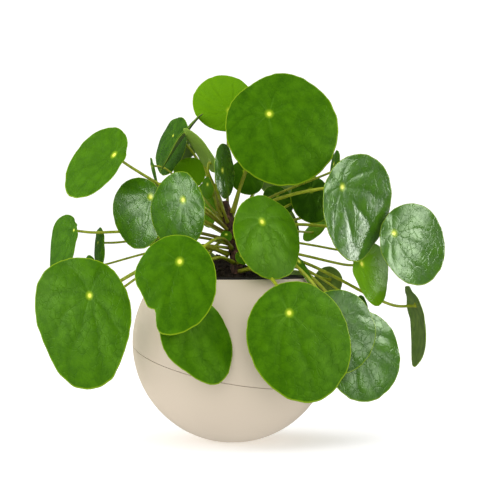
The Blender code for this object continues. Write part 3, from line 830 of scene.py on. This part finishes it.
def cut_along_seam(mesh, offset, keep_above):
    """Cuts a hollow mesh at a plane along the seam, offset metres above it, and closes the cut wall."""
    shape = bmesh.new()
    shape.from_mesh(mesh)
    bmesh.ops.bisect_plane(
        shape,
        geom=shape.verts[:] + shape.edges[:] + shape.faces[:],
        plane_co=UP * SEAM_HEIGHT + SEAM_NORMAL * offset,
        plane_no=SEAM_NORMAL,
        clear_inner=keep_above,
        clear_outer=not keep_above,
    )
    cut = [edge for edge in shape.edges if edge.is_boundary]
    bmesh.ops.bridge_loops(shape, edges=cut)
    bmesh.ops.recalc_face_normals(shape, faces=shape.faces)
    shape.to_mesh(mesh)
    shape.free()


def collar_mesh():
    """The band inside the lower shell that stands into the upper one and locates it."""
    radius, middle, _top = planter_sizes()
    outer = radius - WALL - COLLAR_FIT
    start, end = COLLAR_ARC
    outside = arc((0, middle), outer, start, end, ARC_STEPS)
    inside = arc((0, middle), outer - COLLAR_WALL, end, start, ARC_STEPS)
    mesh = ring_mesh("planter_collar", revolved([*outside, *inside]), joined=True)
    outward(mesh)
    cut_along_seam(mesh, COLLAR_REACH, keep_above=False)
    cut_along_seam(mesh, -COLLAR_REACH, keep_above=True)
    return mesh


def planter():
    """The planter's two shells, with a fine seam between them."""
    finish = planter_plastic()
    profile = shell_profile()
    lower = turned("planter_lower", profile)
    upper = turned("planter_upper", profile)
    cut_along_seam(lower, -SEAM_GAP / 2, keep_above=False)
    cut_along_seam(upper, SEAM_GAP / 2, keep_above=True)
    piece("planter_lower", lower, "beige_plastic", ["planter_lower_shell"], finish, sharp=SHARP_ANGLE)
    piece("planter_upper", upper, "beige_plastic", ["planter_upper_shell"], finish, sharp=SHARP_ANGLE)
    piece("planter_collar", collar_mesh(), "beige_plastic", [], finish, sharp=SHARP_ANGLE)


def drill_drain_holes(pot, floor):
    """Cuts a ring of holes through the growing pot's floor."""
    drills = bmesh.new()
    for i in range(DRAIN_HOLES):
        turn = Matrix.Rotation(math.tau * (i + 0.5) / DRAIN_HOLES, 4, "Z")
        at = turn @ Vector((POT_FLOOR_RADIUS * DRAIN_RING, 0, floor))
        bmesh.ops.create_cone(
            drills,
            cap_ends=True,
            segments=24,
            radius1=DRAIN_RADIUS,
            radius2=DRAIN_RADIUS,
            depth=6 * POT_WALL,
            matrix=Matrix.Translation(at),
        )
    cutter_mesh = bpy.data.meshes.new("drain_drills")
    drills.to_mesh(cutter_mesh)
    drills.free()
    cutter = bpy.data.objects.new("drain_drills", cutter_mesh)
    bpy.context.scene.collection.objects.link(cutter)
    cut = pot.modifiers.new("drain_holes", "BOOLEAN")
    cut.operation = "DIFFERENCE"
    cut.object = cutter
    bpy.context.view_layer.objects.active = pot
    bpy.ops.object.modifier_apply(modifier=cut.name)
    bpy.data.objects.remove(cutter)


def growing_pot():
    """The black growing pot, with a rounded flange on the planter's mouth and drain holes."""
    low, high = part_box("growing_pot")
    reach, top, floor = (high.x - low.x) / 2, high.z, low.z
    wall_top = reach - FLANGE_REACH
    half = FLANGE_THICKNESS / 2
    profile = [
        (0, floor + POT_WALL),
        (POT_FLOOR_RADIUS - POT_WALL, floor + POT_WALL),
        (wall_top - POT_WALL - 0.2 * MM, top - 0.4 * MM),
        (wall_top - POT_WALL + 0.3 * MM, top),
        *arc((reach - half, top - half), half, 90, -90, 8),
        (wall_top, top - FLANGE_THICKNESS),
        (POT_FLOOR_RADIUS, floor),
        (0, floor),
    ]
    mesh = turned("growing_pot_fine", profile)
    finish = pot_plastic()
    made = piece("growing_pot_fine", mesh, "black_plastic", ["growing_pot"], finish, sharp=SHARP_ANGLE)
    drill_drain_holes(made, floor)


def crumb(shape, at, radius, rng):
    """Adds one rough crumb of soil to shape."""
    made = bmesh.ops.create_icosphere(shape, subdivisions=1, radius=radius)["verts"]
    flatten = Vector((rng.uniform(0.7, 1.2), rng.uniform(0.7, 1.2), rng.uniform(0.5, 0.9)))
    for vertex in made:
        vertex.co *= rng.uniform(0.75, 1.15)
        vertex.co = Vector(a * b for a, b in zip(vertex.co, flatten)) + at


def rough_soil(height, edge, edge_height, floor):
    """The soil's rough surface, and its tapered sides down to the pot's floor."""
    rings = []
    for share in np.linspace(0, 1, SOIL_RINGS + 1)[1:]:
        ring = []
        for angle in np.arange(SOIL_SECTORS) * math.tau / SOIL_SECTORS:
            x, y = edge * share * math.cos(angle), edge * share * math.sin(angle)
            lumps = noise.fractal(Vector((x, y, 0)) / SOIL_LUMP_SIZE, 0.9, 2.1, 4)
            ring.append((x, y, max(height(x, y), edge_height - SOIL_DROP) + lumps * SOIL_LUMP_HEIGHT))
        rings.append(ring)
    rings.append([(x * SOIL_TAPER, y * SOIL_TAPER, floor) for x, y, _z in rings[-1]])
    mesh = ring_mesh("soil_rough", rings, start=np.mean(rings[0], axis=0), end=(0, 0, floor))
    outward(mesh)
    return mesh


def loose_crumbs(height, edge):
    """Crumbs of soil, scattered on its surface."""
    rng = random.Random(5)
    crumbs = bmesh.new()
    for _ in range(CRUMBS):
        away, angle = edge * 0.95 * math.sqrt(rng.random()), rng.uniform(0, math.tau)
        x, y = away * math.cos(angle), away * math.sin(angle)
        at = Vector((x, y, height(x, y) + 0.3 * MM))
        crumb(crumbs, at, rng.uniform(0.5, 2.0) * MM, rng)
    mesh = bpy.data.meshes.new("soil_crumbs")
    crumbs.to_mesh(mesh)
    crumbs.free()
    return mesh


def soil():
    """Rough soil in the pot, from the CAD soil's height, with loose crumbs on it."""
    cad = frame["nodes"]["soil"]
    low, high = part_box("soil")
    points = [vertex.co for vertex in cad.data.vertices]
    tree = BVHTree.FromPolygons(points, [face.vertices for face in cad.data.polygons])
    edge = (high.x - low.x) / 2
    sky = high.z + 1
    edge_height = tree.ray_cast(Vector((edge * 0.97, 0, sky)), -UP)[0].z

    def height(x, y):
        """The CAD soil's height near a place, or its edge's height where a ray misses it."""
        hit = tree.ray_cast(Vector((x * SOIL_INSET, y * SOIL_INSET, sky)), -UP)[0]
        return hit.z if hit else edge_height

    finish = soil_crumbs()
    surface = rough_soil(height, edge, edge_height, low.z)
    piece("soil_rough", surface, "potting_soil", ["soil"], finish, sharp=SOIL_SHARP_ANGLE)
    piece("soil_crumbs", loose_crumbs(height, edge), "potting_soil", [], finish)


def read_trunk(heights_apart):
    """The CAD trunk's middle line and radii, at heights that lie heights_apart from each other."""
    points = np.array([vertex.co for vertex in frame["nodes"]["trunk"].data.vertices])
    points = np.unique(points.round(7), axis=0)
    points = points[np.argsort(points[:, 2])].reshape(-1, TRUNK_RING, 3)
    middles = points.mean(axis=1)
    radii = np.linalg.norm(points - middles[:, None], axis=2).mean(axis=1)
    heights = np.arange(middles[0, 2], middles[-1, 2], heights_apart)
    line = np.stack([np.interp(heights, middles[:, 2], middles[:, i]) for i in range(3)], -1)
    return heights, line, np.interp(heights, middles[:, 2], radii)


def leaf_scars(heights, radii, angles):
    """1 on the scars where old leaves stood, which wind up the trunk, and 0 away from them."""
    scars = np.zeros((len(heights), len(angles)))
    for i in range(int((heights[-1] - heights[0]) / SCAR_STEP)):
        away = (angles - i * SCAR_TURN + math.pi) % math.tau - math.pi
        across = (away * radii[:, None] / SCAR_WIDTH) ** 2
        up = ((heights[:, None] - heights[0] - i * SCAR_STEP) / SCAR_HEIGHT) ** 2
        scars = np.maximum(scars, np.exp(-((across + up) ** 2)))
    return scars


def trunk():
    """The woody trunk, with a rough bark and a scar where each old leaf stood."""
    heights, line, radii = read_trunk(TRUNK_STEP)
    angles = np.arange(TRUNK_SIDES) * math.tau / TRUNK_SIDES
    scars = leaf_scars(heights, radii, angles)
    rough = np.zeros(scars.shape)
    for i, height in enumerate(heights):
        for j, angle in enumerate(angles):
            place = Vector((3 * math.cos(angle), 3 * math.sin(angle), height / TRUNK_LUMP))
            rough[i, j] = noise.fractal(place, 0.8, 2, 4)
    rough_lift, scar_lift, whole_lift = BARK_LIFT
    swollen = radii[:, None] + rough_lift * rough + scar_lift * scars + whole_lift
    ring = np.stack([np.cos(angles), np.sin(angles), 0 * angles], -1)
    rings = line[:, None] + swollen[..., None] * ring
    mesh = ring_mesh("trunk_rough", rings, start=line[0], end=line[-1] + (0, 0, 0.5 * MM))
    outward(mesh)
    point_values(mesh, "scar", np.append(scars.ravel(), (0, 0)))
    piece("trunk_rough", mesh, "trunk_bark", ["trunk"], trunk_bark())


def scale_leaflet(shape, foot, outward_direction, length, width, lean):
    """Adds one papery scale that stands up from foot and leans outward."""
    side = UP.cross(outward_direction).normalized()
    rows = []
    for i in range(SCALE_STEPS + 1):
        t = i / SCALE_STEPS
        middle = foot + UP * (length * t) + outward_direction * (lean * t * t)
        half = width / 2 * (1 - t**1.5) + 0.05 * MM
        cupped = outward_direction * (-0.3 * half)
        rows.append([shape.verts.new(middle + side * half * k + cupped * abs(k)) for k in (-1, 0, 1)])
    faces = []
    for low, high in zip(rows, rows[1:]):
        for j in range(2):
            faces.append(shape.faces.new((low[j], low[j + 1], high[j + 1], high[j])))
    bmesh.ops.solidify(shape, geom=faces, thickness=SCALE_THICKNESS)


def stipules(feet):
    """Two dry scales at each leaf's foot, so that the crown is thick with them."""
    rng = random.Random(11)
    shape = bmesh.new()
    for foot, direction in feet:
        outward_direction = Vector((direction[0], direction[1], 0)).normalized()
        for turn in SCALE_TURNS:
            turned_direction = Matrix.Rotation(math.radians(turn), 3, "Z") @ outward_direction
            at = Vector(foot) - outward_direction * 1.0 * MM + turned_direction * 0.6 * MM
            length = rng.uniform(2.6, 5.2) * MM
            width = rng.uniform(1.8, 3.0) * MM
            lean = rng.uniform(0.5, 2.0) * MM
            scale_leaflet(shape, at, turned_direction, length, width, lean)
    bmesh.ops.recalc_face_normals(shape, faces=shape.faces)
    mesh = bpy.data.meshes.new("stipules")
    shape.to_mesh(mesh)
    shape.free()
    piece("stipules", mesh, "trunk_bark", [], papery_scale())


# The studio -------------------------------------------------------------------------------------------


def around(turn, rise, distance):
    """A place round the plant, turned to the right of its front and raised, in degrees."""
    turn, rise = math.radians(turn), math.radians(rise)
    level = distance * math.cos(rise)
    return (level * math.sin(turn), -level * math.cos(turn), AIM_HEIGHT + distance * math.sin(rise))


def soft_box(name, at, size, power, shows):
    """An area light that faces the plant and shows on "diffuse" surfaces or as a "glossy" highlight."""
    data = bpy.data.lights.new(name, "AREA")
    data.shape = "RECTANGLE"
    data.size, data.size_y = size
    data.energy = power
    made = bpy.data.objects.new(name, data)
    made.location = at
    made.rotation_euler = (Vector((0, 0, AIM_HEIGHT)) - Vector(at)).to_track_quat("-Z", "Y").to_euler()
    made.visible_camera = False
    made.visible_diffuse = shows == "diffuse"
    made.visible_glossy = shows == "glossy"
    bpy.context.scene.collection.objects.link(made)


def overhead_light(scene):
    """A broad soft light from above, which keeps the floor even and white."""
    data = bpy.data.lights.new("overhead", "SUN")
    data.energy = OVERHEAD_STRENGTH
    data.angle = OVERHEAD_SPREAD
    made = bpy.data.objects.new("overhead", data)
    made.visible_glossy = False
    scene.collection.objects.link(made)


def lights(scene):
    """The overhead light, two soft boxes for the surfaces, and others for the leaves' highlights."""
    overhead_light(scene)
    soft_box("fill", (-0.4, -1.9, 1.3), (2.2, 1.4), 10, "diffuse")
    soft_box("left_fill", around(-108, 6, 2.0), (1.4, 1.4), 24, "diffuse")
    soft_box("key", (-0.9, -1.3, 2.0), (1.1, 1.1), 9, "glossy")
    soft_box("front_panel", around(42, 6, 2.0), (0.9, 0.9), 7, "glossy")
    soft_box("low_right_panel", around(62, -15, 1.6), (0.5, 0.35), 4, "glossy")
    soft_box("low_left_strip", around(-72, -14, 1.3), (0.15, 0.3), 1.6, "glossy")
    soft_box("right_panel", around(73, 15, 1.6), (0.45, 0.6), 11, "glossy")
    soft_box("right_strip", around(111, 2, 1.2), (0.12, 0.3), 2.4, "glossy")
    soft_box("left_strip", around(-79, 1, 1.2), (0.2, 0.4), 2.5, "glossy")


def white_surround(scene):
    """A white world that lights the plant evenly. It is dim in reflections, which the soft boxes make."""
    world = bpy.data.worlds.new("studio")
    scene.world = world
    world.use_nodes = True
    nodes, links = world.node_tree.nodes, world.node_tree.links
    rays = nodes.new("ShaderNodeLightPath")
    background = nodes["Background"]
    background.inputs["Color"].default_value = (1, 1, 1, 1)
    for_camera, for_surfaces = nodes.new("ShaderNodeMath"), nodes.new("ShaderNodeMath")
    for_camera.operation = for_surfaces.operation = "MULTIPLY_ADD"
    links.new(rays.outputs["Is Camera Ray"], for_camera.inputs[0])
    for_camera.inputs[1].default_value = CAMERA_EXTRA
    for_camera.inputs[2].default_value = WORLD_STRENGTH
    links.new(rays.outputs["Is Diffuse Ray"], for_surfaces.inputs[0])
    for_surfaces.inputs[1].default_value = SURFACE_EXTRA
    links.new(for_camera.outputs[0], for_surfaces.inputs[2])
    links.new(for_surfaces.outputs[0], background.inputs["Strength"])


def pale_floor(scene):
    """A wide pale disc that only the camera sees, so that it doesn't whiten the leaves."""
    n = Nodes("pale_floor")
    tint = n.mix(n.clouds(n.place(), 3), (0.93, 0.93, 0.93, 1), (0.95, 0.95, 0.95, 1))
    n.shader.inputs["Emission Color"].default_value = (1, 1, 1, 1)
    n.shader.inputs["Emission Strength"].default_value = FLOOR_GLOW
    n.finish(base_color=tint, roughness=0.9)
    mesh = bpy.data.meshes.new("floor")
    disc = bmesh.new()
    bmesh.ops.create_circle(disc, cap_ends=True, segments=96, radius=FLOOR_RADIUS)
    disc.to_mesh(mesh)
    disc.free()
    mesh.materials.append(n.material)
    floor = bpy.data.objects.new("floor", mesh)
    floor.visible_diffuse = False
    floor.visible_glossy = False
    floor.visible_shadow = False
    scene.collection.objects.link(floor)


def camera(scene):
    """A level camera in front of the plant."""
    data = bpy.data.cameras.new("camera")
    data.lens = CAMERA_LENS
    made = bpy.data.objects.new("camera", data)
    made.location = CAMERA_PLACE
    made.rotation_euler = (math.radians(90), 0, 0)
    scene.collection.objects.link(made)
    scene.camera = made


def studio():
    """A white studio: a pale floor, soft lights and the camera."""
    scene = bpy.context.scene
    scene.view_settings.view_transform = "Standard"
    white_surround(scene)
    pale_floor(scene)
    lights(scene)
    camera(scene)


def main():
    feet = leaves()
    planter()
    growing_pot()
    soil()
    trunk()
    stipules(feet)
    studio()


main()
